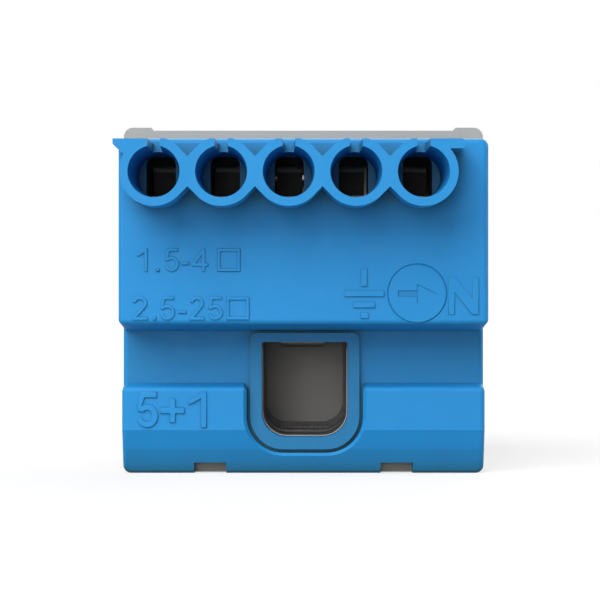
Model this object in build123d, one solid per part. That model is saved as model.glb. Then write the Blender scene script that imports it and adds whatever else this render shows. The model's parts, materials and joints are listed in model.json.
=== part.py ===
from build123d import *
import os

# Neutral terminal block, two modules wide. Millimetres, +Z up, wires enter from -Y.
# Depths are counted back from the rims of the round wire entries, 0 at the front.

# Overall size
width = 36.0
depth = 35.0
deck_z = 34.25
rib_rise = 0.3
half_width = width / 2
rib_z = deck_z + rib_rise

# Moulded front cover
wall = 1.4
lower_wall = 1.6
cover_drop = 1.25
cover_top_z = deck_z - cover_drop
slab_front = 6.0
slab_bottom_z = 14.95
slab_root_z = 14.2
recess_front = 11.65
step_root_z = 9.0
step_top_z = 8.6
lower_front = 9.9
slant_top_z = 4.4
foot_front = 11.45
seam = 13.1
lip_front = 12.2
cover_corner_r = 0.8
edge_r = 0.5
notch_inset = 8.7
notch_x = half_width - notch_inset
notch_width = 3.2
notch_height = 1.08

# Round push-in wire entries
entry_count = 5
entry_inset = 3.86
entry_inset_right = 6.66
entry_first_x = entry_inset - half_width
entry_pitch = (width - entry_inset - entry_inset_right) / (entry_count - 1)
entry_drop = 3.58
entry_z = cover_top_z - entry_drop
entry_flat_z = cover_top_z - 0.5
entry_outer_r = 3.27
entry_mouth_r = 2.46
entry_throat_r = 2.24
entry_floor = 10.5
floor_thickness = 1.2
slot_mouth_width = 1.25
slot_root_width = 0.93
web_apex = 1.42
web_reach_x = 0.78
web_reach_z = 2.2
arch_width = 2.93
arch_rise = 1.12
arch_drop = 2.0
arch_end = 16.2
arch_end_rise = 1.46

# Window for the large wire, with its raised collar
window_x = 0.14
window_half = 4.3
window_top_z = 13.1
window_bottom_z = 3.62
window_corner_r = 2.5
collar_face = 11.0
collar_half = 5.44
collar_top_z = 14.0
collar_bottom_z = 2.4
collar_top_r = 0.7
collar_bottom_r = 3.3
pocket_gap = 0.35
pocket_bevel = 0.3

# Clamp: a steel cage drawn up by a captive M6 screw against the busbar's tongue
clamp_x = 0.3
screw_axis = 26.0
screw_r = 3.0
thread_play = 0.05
screw_head_r = 4.0
screw_head_height = 3.2
screw_head_bevel = 0.6
screw_slot_width = 1.2
screw_recess_depth = 2.0
screw_cross_half = 2.2
cage_inner_half = 4.7
cage_wall = 1.2
cage_front = 22.0
cage_rear = 30.0
cage_floor_z = 3.6
cage_inner_height = 11.6
cage_plate = 2.0
guide_play = 0.15

# Busbar: 1.5 mm copper strip
bar = 1.5
tongue_x0 = -2.3
tongue_x1 = 2.2
tongue_z = 12.4
web_front = 20.0
finger_drop = 1.52
finger_top_z = entry_z - finger_drop
web_height = 3.0
web_z0 = finger_top_z - web_height
finger_width = 3.0
finger_front = 16.9
lug_x0 = 5.15
lug_x1 = 8.0
lug_rise = 3.4
lug_top_z = finger_top_z + lug_rise

# Spring clips of the push-in entries
frame_thickness = 0.6
frame_front = 17.1
frame_outer_half = 2.2
frame_inner_half = 1.65
frame_bar = 0.7
frame_corner_r = 0.4
spring_thickness = 0.35
spring_width = 2.6

# Grey rear base
base_wall = 1.5
deck_thickness = 1.9
base_cavity_half = half_width - base_wall
base_cavity_rear = 31.05
base_cavity_top_z = deck_z - deck_thickness
access_r = 3.4
access_boss_r = 5.0
access_boss_drop = 1.95
access_boss_z = base_cavity_top_z - access_boss_drop
screw_head_z = access_boss_z - 0.2 - screw_head_height
cage_top_z = cage_floor_z + cage_inner_height + cage_plate
cage_travel = min(tongue_z - cage_floor_z, screw_head_z - cage_top_z) - 0.3
base_corner_r = 0.95
rib_outer = 2.75
rib_foot = 3.05
bar_floor = 32.0
bar_slot_depth = 2.1
bar_slot_z0 = 11.9
bar_slot_height = 12.2
bar_lip = 1.2
tab_height = 2.6
tab_reach = 3.5
tab_thickness = 1.1
tab_over_root = 2.0
tab_clearance = 0.4
seat_gap = 0.1

# Insert that carries the contacts
carrier_play = 0.2
carrier_front = 11.75
carrier_half = base_cavity_half - carrier_play
carrier_z0 = web_z0 - 0.9
carrier_z1 = base_cavity_top_z - 0.15
carrier_neck_z = cover_top_z - 1.5
spring_top_z = carrier_neck_z - 0.1
chamber_wall = 1.1
chamber_floor_z = 1.45
tunnel_front = 12.4
tunnel_half = 4.2
tunnel_lip = 18.7
tunnel_bottom_z = 3.95
tunnel_top_z = 13.05
pocket_half = 2.35

# Snap tabs: one above the slab's root, one under the insert
tab_zs = (slab_root_z + tab_over_root, carrier_z0 - tab_clearance - tab_height)

entry_xs = [entry_first_x + i * entry_pitch for i in range(entry_count)]


def y(t):
    """Row Y of a depth counted back from the entry rims."""
    return t - depth / 2


def block(x0, x1, t0, t1, z0, z1):
    """Box between two corners, with its depth counted from the front."""
    centre = ((x0 + x1) / 2, y((t0 + t1) / 2), (z0 + z1) / 2)
    return Pos(*centre) * Box(x1 - x0, t1 - t0, z1 - z0)


def side_prism(points, x0, x1):
    """Extrude an outline of (depth, z) points along X."""
    wire = Polyline([(x0, y(t), z) for t, z in points], close=True)
    return extrude(make_face(wire), amount=x1 - x0, dir=(1, 0, 0))


def front_prism(points, t0, t1):
    """Extrude an outline of (x, z) points back along Y."""
    wire = Polyline([(x, y(t0), z) for x, z in points], close=True)
    return extrude(make_face(wire), amount=t1 - t0, dir=(0, 1, 0))


def rod_y(x, z, r0, r1, t0, t1):
    """Cylinder or cone along Y, radius r0 at depth t0 and r1 at t1."""
    place = Plane(origin=(x, y((t0 + t1) / 2), z), z_dir=(0, 1, 0))
    if abs(r0 - r1) < 1e-9:
        return place * Cylinder(r0, t1 - t0)
    return place * Cone(r0, r1, t1 - t0)


def rod_z(x, t, r, z0, z1):
    """Upright cylinder."""
    return Pos(x, y(t), (z0 + z1) / 2) * Cylinder(r, z1 - z0)


def u_shape(x, half, z0, z1, top_r, bottom_r, t0, t1):
    """Prism along Y with round lower corners and tighter upper ones."""
    body = block(x - half, x + half, t0, t1, z0, z1)
    along = body.edges().filter_by(Axis.Y)
    low = along.filter_by(lambda e: e.center().Z < (z0 + z1) / 2)
    high = along.filter_by(lambda e: e.center().Z > (z0 + z1) / 2)
    body = fillet(low, bottom_r)
    high = body.edges().filter_by(Axis.Y).filter_by(
        lambda e: e.center().Z > z1 - 0.01 and abs(abs(e.center().X - x) - half) < 0.01
    )
    return fillet(high, top_r)


def arch(x, t0, t1):
    """Prism of the arched opening at the end of a wire entry."""
    half = arch_width / 2
    lower = block(x - half, x + half, t0, t1, entry_z - arch_drop, entry_z + arch_rise)
    return lower + rod_y(x, entry_z + arch_rise, half, half, t0, t1)


def front_cover():
    """Blue moulding: stepped shell, entry tubes, wing bars, window and collar."""
    outline = [
        (slab_front, cover_top_z),
        (slab_front, slab_bottom_z),
        (recess_front, slab_root_z),
        (recess_front, step_root_z),
        (lower_front, step_top_z),
        (lower_front, slant_top_z),
        (foot_front, 0),
        (seam, 0),
        (seam, cover_top_z),
    ]
    body = side_prism(outline, -half_width, half_width)
    corners = body.edges().filter_by(Axis.Y).filter_by(
        lambda e: abs(abs(e.center().X) - half_width) < 0.01
    )
    body = fillet(corners, cover_corner_r)
    # U-shaped pocket with a bevelled mouth, for the window's collar
    half = collar_half + pocket_gap
    pocket = u_shape(
        window_x, half, collar_bottom_z - pocket_gap, slab_root_z,
        collar_top_r, collar_bottom_r + pocket_gap, 0, recess_front,
    )
    body -= pocket
    body = chamfer(body.edges().filter_by(pocket_mouth_edge), pocket_bevel)
    rims = [(slab_front, slab_bottom_z), (slab_front, cover_top_z), (lower_front, step_top_z)]
    rounded = body.edges().filter_by(
        lambda e: abs(abs(e.center().X) - half_width) < 0.01 and e.center().Y < y(seam) - 0.05
    )
    for t, z in rims:
        rounded += body.edges().filter_by(Axis.X).filter_by(
            lambda e: abs(e.center().Y - y(t)) < 0.01 and abs(e.center().Z - z) < 0.01
        )
    body = fillet(rounded, edge_r)
    inner_x = half_width - wall
    body -= block(
        -inner_x, inner_x, slab_front + wall, seam + 1,
        slab_root_z + wall, cover_top_z - wall,
    )
    body -= block(
        -inner_x, inner_x, lower_front + lower_wall, seam + 1, wall, step_top_z - wall
    )

    # Wall round the pocket behind the face, and the collar that stands in it
    body += u_shape(
        window_x, half + wall, collar_bottom_z - pocket_gap - 1, step_top_z,
        0.2, collar_bottom_r + wall, lower_front + lower_wall - seat_gap, tunnel_front - seat_gap,
    ) - pocket
    body += u_shape(
        window_x, collar_half, collar_bottom_z, collar_top_z,
        collar_top_r, collar_bottom_r, collar_face, tunnel_front - seat_gap,
    )
    chamber_half = cage_inner_half + cage_wall + guide_play + chamber_wall + seat_gap
    body -= block(
        clamp_x - chamber_half, clamp_x + chamber_half, tunnel_front - seat_gap, seam + 1,
        chamber_floor_z - seat_gap, screw_head_z,
    )
    body -= u_shape(
        window_x, window_half, window_bottom_z, window_top_z,
        0.25, window_corner_r, 0, seam + 1,
    )

    # Entry tubes, their webs and the wing bars
    for x in entry_xs:
        body += rod_y(x, entry_z, entry_outer_r, entry_outer_r, 0, slab_front + 0.5)
        body += rod_y(
            x, entry_z, entry_outer_r, entry_outer_r,
            slab_front + 0.5, entry_floor + floor_thickness,
        )
    for x in entry_xs[:-1]:
        body += entry_web(x + entry_pitch / 2)
    first = entry_xs[0]
    left_bar = [
        (first, entry_flat_z),
        (-half_width, entry_flat_z),
        (-half_width, cover_top_z - 1.0),
        (-half_width + 0.85, cover_top_z - 1.85),
        (-half_width + 1.6, cover_top_z - 2.0),
        (first, cover_top_z - 2.0),
    ]
    body += front_prism(left_bar, 0, slab_front + 0.5)
    last = entry_xs[-1]
    top = entry_flat_z
    right_bar = front_prism(
        [(last, top), (last + 3.95, top), (last + 3.95, top - 0.92),
         (last + 2.6, top - 0.92), (last, top - 1.6)],
        0, slab_front + 0.5,
    )
    tip = right_bar.edges().filter_by(Axis.Y).filter_by(
        lambda e: abs(e.center().X - last - 3.95) < 0.01
    )
    body += fillet(tip, 0.4)
    body -= block(
        -half_width, half_width, -1, slab_front, entry_flat_z, entry_z + entry_outer_r + 1
    )

    # Entry bores with their draft, the slots and the arched ends
    for x in entry_xs:
        body -= rod_y(x, entry_z, entry_mouth_r, entry_throat_r, 0, slab_front)
        body -= rod_y(
            x, entry_z, entry_throat_r, entry_throat_r, slab_front, entry_floor
        )
        body -= arch(x, entry_floor, entry_floor + floor_thickness)
        m = slot_mouth_width / 2
        r = slot_root_width / 2
        plan = [
            (x - m, y(0), entry_z), (x + m, y(0), entry_z),
            (x + r, y(slab_front), entry_z), (x - r, y(slab_front), entry_z),
        ]
        body -= extrude(
            make_face(Polyline(plan, close=True)), amount=entry_outer_r + 1, dir=(0, 0, 1)
        )

    # Notches under the front edge that show the base's latches
    for side in (-1, 1):
        x = side * notch_x
        body -= block(x - notch_width / 2, x + notch_width / 2, 0, seam, -1, notch_height)
    return body


def pocket_mouth_edge(edge):
    """Whether an edge runs round the mouth of the collar's pocket."""
    middle = edge.center()
    size = edge.bounding_box().size
    beside = abs(middle.X - window_x) < collar_half + pocket_gap + 0.05
    level = 0.1 < middle.Z < step_root_z
    ahead = y(lower_front) - 0.05 < middle.Y < y(recess_front) - 0.05
    return beside and level and ahead and (size.X > 0.1 or size.Z > 0.1)


def entry_web(middle):
    """Web between two entry tubes, notched to a V above and below."""
    side = [
        (-entry_pitch / 4, 0), (-web_reach_x, web_reach_z), (0, web_apex),
        (web_reach_x, web_reach_z), (entry_pitch / 4, 0),
        (web_reach_x, -web_reach_z), (0, -web_apex), (-web_reach_x, -web_reach_z),
    ]
    return front_prism([(middle + x, entry_z + z) for x, z in side], 0, slab_front + 0.5)


def rear_base():
    """Light grey moulding: open box with the screw's access, ribs and bar groove."""
    body = block(-half_width, half_width, seam, depth, 0, deck_z)
    upright = body.edges().filter_by(Axis.Y).filter_by(lambda e: e.center().Z > 1)
    body = fillet(upright, base_corner_r)
    feet = body.edges().filter_by(Axis.Y).filter_by(lambda e: e.center().Z < 0.01)
    body = fillet(feet, cover_corner_r)
    body += block(
        -half_width, half_width, lip_front, seam + 0.5, cover_top_z + 0.03, deck_z
    ) & lip_outline()
    for side in (-1, 1):
        body += corner_rib(side)
    body -= block(
        -base_cavity_half, base_cavity_half, seam - 1, base_cavity_rear,
        wall, base_cavity_top_z,
    )
    # Boss and bore over the screw's head, with a small countersink
    body += rod_z(clamp_x, screw_axis, access_boss_r, access_boss_z, base_cavity_top_z + 0.5)
    body -= rod_z(clamp_x, screw_axis, access_r, access_boss_z - 1, deck_z + 1)
    body -= Pos(clamp_x, y(screw_axis), deck_z - 0.25) * Cone(access_r, access_r + 0.5, 0.5)
    # Groove across the back for a flat support bar
    z1 = bar_slot_z0 + bar_slot_height
    body -= block(
        -half_width - 1, half_width + 1, bar_floor, bar_floor + bar_slot_depth,
        bar_slot_z0, z1,
    )
    body -= block(
        -half_width - 1, half_width + 1, bar_floor, depth + 1,
        bar_slot_z0 + bar_lip, z1 - bar_lip,
    )
    # Snap tabs inside the cover's side walls
    for side in (-1, 1):
        for z0 in tab_zs:
            outer = side * (half_width - wall - seat_gap)
            inner = outer - side * tab_thickness
            body += block(
                min(outer, inner), max(outer, inner), seam - tab_reach, seam + 2, z0, z0 + tab_height
            )
    return body


def lip_outline():
    """Prism of the base's rounded outline, to trim its front lip."""
    body = block(-half_width, half_width, 0, depth, 0, deck_z)
    upright = body.edges().filter_by(Axis.Y).filter_by(lambda e: e.center().Z > 1)
    return fillet(upright, base_corner_r)


def corner_rib(side):
    """Low rib along a top edge of the base, down to the cover's top in front."""
    outer = side * half_width
    low = cover_top_z + 0.03
    rib = front_prism(
        [(outer, low), (outer, rib_z), (outer - side * rib_outer, rib_z),
         (outer - side * rib_foot, deck_z), (outer - side * rib_foot, low)],
        lip_front, depth,
    )
    corner = rib.edges().filter_by(Axis.Y).filter_by(
        lambda e: abs(e.center().X - outer) < 0.01 and e.center().Z > deck_z
    )
    return fillet(corner, base_corner_r)


def contact_carrier():
    """Anthracite insert: entry passages, cage chamber and large wire tunnel."""
    x0 = clamp_x - cage_inner_half - cage_wall - guide_play
    x1 = clamp_x + cage_inner_half + cage_wall + guide_play
    plate_z = cage_top_z + cage_travel + 0.15
    body = block(
        x0 - chamber_wall, x1 + chamber_wall, tunnel_front, base_cavity_rear,
        chamber_floor_z, screw_head_z - 0.1,
    )
    body += block(
        -carrier_half, carrier_half, carrier_front, web_front - 0.05,
        carrier_z0, carrier_neck_z,
    )
    body += block(
        -carrier_half, carrier_half, seam + 0.05, web_front - 0.05,
        carrier_z0, carrier_z1,
    )
    body -= block(
        x0, x1, web_front - 0.05, cage_rear + guide_play,
        cage_floor_z - cage_wall - 0.05, plate_z,
    )
    body -= rod_z(clamp_x, screw_axis, screw_r + 0.08, plate_z - 1, screw_head_z + 1)
    # Slot through the chamber's sides and roof for the busbar's web
    body -= block(
        -carrier_half - 1, carrier_half + 1, web_front - 0.05, web_front + bar + 0.1,
        web_z0 - 0.1, carrier_z1 + 1,
    )
    body -= block(
        tongue_x0 - 0.1, tongue_x1 + 0.1, web_front - 0.05, web_front + bar + 0.1,
        plate_z - 1, carrier_z1 + 1,
    )
    # Large wire tunnel: full window size at the front, a tighter lip behind it,
    # and open at the very back, where the base's own wall stops the wire
    body -= u_shape(
        window_x, window_half - 0.12, window_bottom_z + 0.12, tunnel_top_z + 0.02,
        0.2, window_corner_r, tunnel_front - 1, tunnel_lip - 1.2,
    )
    body -= u_shape(
        window_x, tunnel_half, tunnel_bottom_z, tunnel_top_z,
        0.2, window_corner_r - 0.2, tunnel_front - 1, base_cavity_rear + 1,
    )
    # Passages with a sloping ceiling, and the spring pockets behind them
    slope = [
        (carrier_front - 0.1, entry_z - arch_drop),
        (carrier_front - 0.1, entry_z + arch_rise + arch_width / 2 - 0.05),
        (arch_end, entry_z + arch_end_rise),
        (arch_end, entry_z - arch_drop),
    ]
    for x in entry_xs:
        passage = arch(x, carrier_front - 0.1, arch_end)
        body -= passage & side_prism(slope, x - 3, x + 3)
        body -= block(
            x - pocket_half, x + pocket_half, arch_end, web_front + 1,
            finger_top_z - bar - frame_bar - 0.05, spring_top_z,
        )
    return body


def busbar():
    """Copper strip: web, five fingers, lug, neck and the tongue in the cage."""
    x0 = entry_xs[0] - finger_width / 2
    x1 = entry_xs[-1] + finger_width / 2
    body = block(x0, x1, web_front, web_front + bar, web_z0, finger_top_z)
    for x in entry_xs:
        body += block(
            x - finger_width / 2, x + finger_width / 2, finger_front, web_front + 0.5,
            finger_top_z - bar, finger_top_z,
        )
    body += block(lug_x0, lug_x1, web_front, web_front + bar, web_z0, lug_top_z)
    bend_r = 0.9
    strip = side_prism(
        [(web_front, web_z0 + 0.5), (web_front, tongue_z), (cage_rear - 0.3, tongue_z),
         (cage_rear - 0.3, tongue_z + bar), (web_front + bar, tongue_z + bar),
         (web_front + bar, web_z0 + 0.5)],
        tongue_x0, tongue_x1,
    )
    outside = strip.edges().filter_by(Axis.X).filter_by(
        lambda e: abs(e.center().Y - y(web_front)) < 0.01 and e.center().Z < tongue_z + 0.01
    )
    strip = fillet(outside, bend_r)
    inside = strip.edges().filter_by(Axis.X).filter_by(
        lambda e: abs(e.center().Y - y(web_front + bar)) < 0.01
        and abs(e.center().Z - tongue_z - bar) < 0.01
    )
    return body + fillet(inside, 0.4)


def spring_frame(x):
    """Small steel frame hung round one finger."""
    z0 = finger_top_z - bar - frame_bar
    z1 = spring_top_z - 0.03
    t1 = frame_front + frame_thickness
    body = block(x - frame_outer_half, x + frame_outer_half, frame_front, t1, z0, z1)
    shoulders = body.edges().filter_by(Axis.Y).group_by(Axis.Z)[-1]
    body = fillet(shoulders, frame_corner_r)
    return body - block(
        x - frame_inner_half, x + frame_inner_half, frame_front - 1, t1 + 1,
        finger_top_z - bar, z1 - frame_bar + 0.2,
    )


def push_in_spring(x):
    """Leaf spring behind the frame, bent back over itself with its tip over the finger."""
    t0 = frame_front + frame_thickness + 0.1
    s = spring_thickness
    top = spring_top_z - 0.03
    path = [
        (web_front - 0.15, top), (t0 + 0.55, top), (t0 + 0.15, top - 0.2),
        (t0, top - 0.6), (t0 + 0.1, top - 0.95), (web_front - 0.45, finger_top_z + 0.25),
        (web_front - 0.15, finger_top_z + 0.42), (t0 + 0.1 + s, top - 1.0),
        (t0 + s, top - 0.65), (t0 + 0.25 + s * 0.7, top - 0.42), (t0 + 0.6, top - s),
        (web_front - 0.15, top - s),
    ]
    return side_prism(path, x - spring_width / 2, x + spring_width / 2)


def terminal_cage():
    """Folded steel cage: floor, two sides and the threaded top plate."""
    xi = cage_inner_half
    z0 = cage_floor_z - cage_wall
    z1 = cage_floor_z + cage_inner_height
    body = block(
        clamp_x - xi - cage_wall, clamp_x + xi + cage_wall, cage_front, cage_rear,
        z0, cage_top_z,
    )
    folds = body.edges().filter_by(Axis.Y)
    body = fillet(folds, 0.8)
    inner = block(clamp_x - xi, clamp_x + xi, cage_front - 1, cage_rear + 1, cage_floor_z, z1)
    inner = fillet(inner.edges().filter_by(Axis.Y), 0.4)
    body -= inner
    body -= rod_z(clamp_x, screw_axis, screw_r + thread_play, z1 - 1, cage_top_z + 1)
    return body


def clamp_screw():
    """Captive screw: pan head with a combined slot and cross recess."""
    tip = tongue_z + bar + 0.03
    body = rod_z(clamp_x, screw_axis, screw_r, tip, screw_head_z + 0.2)
    body = chamfer(body.edges().sort_by(Axis.Z)[0], 0.5)
    head = rod_z(
        clamp_x, screw_axis, screw_head_r, screw_head_z, screw_head_z + screw_head_height
    )
    head = chamfer(head.edges().sort_by(Axis.Z)[-1], screw_head_bevel)
    body += head
    top = screw_head_z + screw_head_height
    half = screw_slot_width / 2
    t = screw_axis
    body -= block(clamp_x - 5, clamp_x + 5, t - half, t + half, top - screw_recess_depth, top + 1)
    body -= block(
        clamp_x - half, clamp_x + half, t - screw_cross_half, t + screw_cross_half,
        top - screw_recess_depth, top + 1
    )
    return body


pieces = {
    "front_cover": front_cover(),
    "rear_base": rear_base(),
    "contact_carrier": contact_carrier(),
    "busbar": busbar(),
    "terminal_cage": terminal_cage(),
    "clamp_screw": clamp_screw(),
}
for number, x in enumerate(entry_xs, start=1):
    pieces[f"spring_frame_{number}"] = spring_frame(x)
    pieces[f"push_in_spring_{number}"] = push_in_spring(x)

os.makedirs("parts", exist_ok=True)
for name, shape in pieces.items():
    export_step(shape, f"parts/{name}.step")
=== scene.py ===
"""Neutral terminal block: finishes, raised marks, screw thread and the studio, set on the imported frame."""
from __future__ import annotations

import json
import logging
import math
from collections.abc import Callable
from dataclasses import dataclass, field
from enum import Enum

import bmesh
import bpy
from mathutils import Matrix, Vector

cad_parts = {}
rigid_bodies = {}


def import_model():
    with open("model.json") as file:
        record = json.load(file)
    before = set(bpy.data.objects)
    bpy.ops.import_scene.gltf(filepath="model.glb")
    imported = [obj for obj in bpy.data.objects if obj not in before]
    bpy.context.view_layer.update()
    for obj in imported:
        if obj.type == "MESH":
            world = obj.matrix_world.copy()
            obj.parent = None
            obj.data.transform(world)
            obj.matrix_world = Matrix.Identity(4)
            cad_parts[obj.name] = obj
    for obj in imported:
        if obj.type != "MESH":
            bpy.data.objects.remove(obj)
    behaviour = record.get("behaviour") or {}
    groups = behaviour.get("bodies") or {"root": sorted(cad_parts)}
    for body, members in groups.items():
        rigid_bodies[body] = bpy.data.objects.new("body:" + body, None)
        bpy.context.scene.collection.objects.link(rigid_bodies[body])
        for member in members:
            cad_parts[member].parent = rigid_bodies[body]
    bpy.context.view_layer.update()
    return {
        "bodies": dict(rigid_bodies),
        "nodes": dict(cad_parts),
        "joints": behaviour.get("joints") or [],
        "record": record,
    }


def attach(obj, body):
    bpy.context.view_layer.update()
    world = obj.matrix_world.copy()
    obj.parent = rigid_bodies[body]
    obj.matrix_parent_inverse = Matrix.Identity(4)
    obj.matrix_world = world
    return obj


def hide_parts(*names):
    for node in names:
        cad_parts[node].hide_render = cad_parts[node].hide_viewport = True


log = logging.getLogger("terminal_block")

MM = 0.001
HALF_DEPTH = 17.5
# Tolerances in millimetres: joining points, cutting level, and finding the points on a cut.
WELD = 0.0005
CUT_ROOM = 0.0001
ON_CUT = 0.002

Triple = tuple[float, float, float]
Colour = Triple
Span = tuple[float, float]
Loop = list[tuple[float, float]]
Socket = bpy.types.NodeSocket
Tree = bpy.types.NodeTree

NO_STRETCH: Triple = (1.0, 1.0, 1.0)
NOISE_RANGE: Span = (0.3, 0.7)
FULL_RANGE: Span = (0.0, 1.0)


def row_y(depth_mm: float) -> float:
    """Row Y in metres of a depth counted back from the entry rims."""
    return (depth_mm - HALF_DEPTH) * MM


class Moulding(Enum):
    """The three mouldings of the housing, by their colour."""

    BLUE = "blue_moulding"
    GREY = "grey_moulding"
    DARK = "dark_moulding"


class Face(Enum):
    """The two front faces that carry raised marks, by their depth in millimetres."""

    SLAB = 6.0
    LOWER = 9.9


@dataclass(frozen=True)
class Pattern:
    """A noise pattern on Object coordinates.

    Attributes:
        scale: Cells per metre.
        detail: Octaves of the noise.
        stretch: How much each axis is scaled first.
    """

    scale: float
    detail: float
    stretch: Triple = NO_STRETCH

    def lay(self, tree: Tree) -> Socket:
        """Add the noise texture.

        Args:
            tree: The material's node tree.

        Returns:
            Its value, mostly 0.3 to 0.7.
        """
        place = tree.nodes.new("ShaderNodeTexCoord")
        mapping = tree.nodes.new("ShaderNodeMapping")
        mapping.inputs["Scale"].default_value = self.stretch
        noise = tree.nodes.new("ShaderNodeTexNoise")
        noise.inputs["Scale"].default_value = self.scale
        noise.inputs["Detail"].default_value = self.detail
        tree.links.new(place.outputs["Object"], mapping.inputs["Vector"])
        tree.links.new(mapping.outputs["Vector"], noise.inputs["Vector"])
        return noise.outputs["Fac"]


class NodeBench:
    """Small steps that the materials and the world share."""

    @staticmethod
    def start(name: str) -> tuple[bpy.types.Material, bpy.types.Node, Tree]:
        """Make a material with one Principled shader.

        Args:
            name: The material's name.

        Returns:
            The material, its shader node and its node tree.
        """
        material = bpy.data.materials.new(name)
        material.use_nodes = True
        tree = material.node_tree
        shader = next(n for n in tree.nodes if n.type == "BSDF_PRINCIPLED")
        return material, shader, tree

    @staticmethod
    def ranged(tree: Tree, source: Socket, start: Span, result: Span = FULL_RANGE,
               smooth: bool = False) -> Socket:
        """Map one range of values on to another.

        Args:
            tree: The node tree.
            source: The value's socket.
            start: The range that comes in.
            result: What it becomes.
            smooth: Whether it eases in and out.

        Returns:
            The mapped socket.
        """
        node = tree.nodes.new("ShaderNodeMapRange")
        if smooth:
            node.interpolation_type = "SMOOTHSTEP"
        node.inputs["From Min"].default_value, node.inputs["From Max"].default_value = start
        node.inputs["To Min"].default_value, node.inputs["To Max"].default_value = result
        tree.links.new(source, node.inputs["Value"])
        return node.outputs["Result"]

    @staticmethod
    def maths(tree: Tree, kind: str, *values: Socket | float) -> Socket:
        """Add one sum.

        Args:
            tree: The node tree.
            kind: The sum's kind.
            values: What it works on, each a socket or a number.

        Returns:
            Its result.
        """
        node = tree.nodes.new("ShaderNodeMath")
        node.operation = kind
        for socket, value in zip(node.inputs, values):
            if isinstance(value, float):
                socket.default_value = value
            else:
                tree.links.new(value, socket)
        return node.outputs["Value"]

    @staticmethod
    def mix(tree: Tree, share: Socket, first: Socket | Colour, second: Colour) -> Socket:
        """Mix two colours.

        Args:
            tree: The node tree.
            share: How much of the second colour there is, 0 to 1.
            first: The first colour, or its socket.
            second: The second colour.

        Returns:
            The mixed colour.
        """
        node = tree.nodes.new("ShaderNodeMix")
        node.data_type = "RGBA"
        if isinstance(first, tuple):
            node.inputs["A"].default_value = (*first, 1.0)
        else:
            tree.links.new(first, node.inputs["A"])
        node.inputs["B"].default_value = (*second, 1.0)
        tree.links.new(share, node.inputs["Factor"])
        return node.outputs["Result"]

    @staticmethod
    def choose(tree: Tree, share: Socket, first: Socket, second: Socket) -> Socket:
        """Mix two shaders.

        Args:
            tree: The node tree.
            share: How much of the second shader there is, 0 to 1.
            first: The first shader.
            second: The second shader.

        Returns:
            The mixed shader.
        """
        node = tree.nodes.new("ShaderNodeMixShader")
        for socket, source in zip(node.inputs, (share, first, second)):
            tree.links.new(source, socket)
        return node.outputs["Shader"]

    @staticmethod
    def split(tree: Tree, kind: str) -> bpy.types.NodeOutputs:
        """Split the place or the normal, in the object's own axes, into X, Y and Z.

        Args:
            tree: The node tree.
            kind: "Object" for the place, "Normal" for the normal.

        Returns:
            The three outputs.
        """
        source = tree.nodes.new("ShaderNodeTexCoord")
        node = tree.nodes.new("ShaderNodeSeparateXYZ")
        tree.links.new(source.outputs[kind], node.inputs["Vector"])
        return node.outputs

    @staticmethod
    def bump(tree: Tree, height: Socket, strength: float, distance: float) -> bpy.types.Node:
        """Add a bump.

        Args:
            tree: The node tree.
            height: The height's socket.
            strength: Its strength, 0 to 1.
            distance: How high it is, in metres.

        Returns:
            The bump node.
        """
        node = tree.nodes.new("ShaderNodeBump")
        node.inputs["Strength"].default_value = strength
        node.inputs["Distance"].default_value = distance
        tree.links.new(height, node.inputs["Height"])
        return node


@dataclass(frozen=True)
class EngravedArrow:
    """Arrow in a thin round line, sunk into the slab's face by the mould's turned insert.

    Lengths are in millimetres, and head_share is the head's depth as a share of the shaft's.
    """

    ring_x: float = 11.07
    ring_z: float = 17.9
    ring_r: float = 2.85
    line_half: float = 0.05
    shaft_x0: float = 9.2
    shaft_x1: float = 11.05
    shaft_half: float = 0.27
    head_half: float = 0.9
    tip_x: float = 12.95
    soft: float = 0.05
    head_share: float = 0.6
    slab_room: float = 0.3

    def masks(self, tree: Tree) -> tuple[Socket, Socket]:
        """Build the sunk shape on Object coordinates.

        Args:
            tree: The material's node tree.

        Returns:
            Two sockets: how deep the face is sunk, and where the arrow's shaft is, both 0 to 1.
        """
        place = NodeBench.split(tree, "Object")

        def maths(kind: str, *values: Socket | float) -> Socket:
            return NodeBench.maths(tree, kind, *values)

        def inside(distance: Socket) -> Socket:
            return NodeBench.ranged(tree, distance, (self.soft, -self.soft), smooth=True)

        x = maths("SUBTRACT", maths("MULTIPLY", place["X"], 1.0 / MM), self.ring_x)
        z = maths("SUBTRACT", maths("MULTIPLY", place["Z"], 1.0 / MM), self.ring_z)
        up = maths("ABSOLUTE", z)
        radius = maths("SQRT", maths("ADD", maths("MULTIPLY", x, x), maths("MULTIPLY", z, z)))
        off_ring = maths("ABSOLUTE", maths("SUBTRACT", radius, self.ring_r))
        ring = maths("SUBTRACT", off_ring, self.line_half)
        middle = (self.shaft_x0 + self.shaft_x1) / 2 - self.ring_x
        off_middle = maths("ABSOLUTE", maths("SUBTRACT", x, middle))
        along = maths("SUBTRACT", off_middle, (self.shaft_x1 - self.shaft_x0) / 2)
        shaft = maths("MAXIMUM", along, maths("SUBTRACT", up, self.shaft_half))
        run = self.tip_x - self.shaft_x1
        slant = math.hypot(run, self.head_half)
        past_tip = maths("SUBTRACT", x, self.tip_x - self.ring_x)
        rise = maths("MULTIPLY", up, run / slant)
        side = maths("ADD", rise, maths("MULTIPLY", past_tip, self.head_half / slant))
        head = maths("MAXIMUM", maths("SUBTRACT", self.shaft_x1 - self.ring_x, x), side)
        face = maths("LESS_THAN", place["Y"], row_y(Face.SLAB.value + self.slab_room))
        arrow = maths("MAXIMUM", inside(shaft), maths("MULTIPLY", inside(head), self.head_share))
        sunk = maths("MAXIMUM", arrow, inside(ring))
        return maths("MULTIPLY", sunk, face), maths("MULTIPLY", inside(shaft), face)


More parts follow.
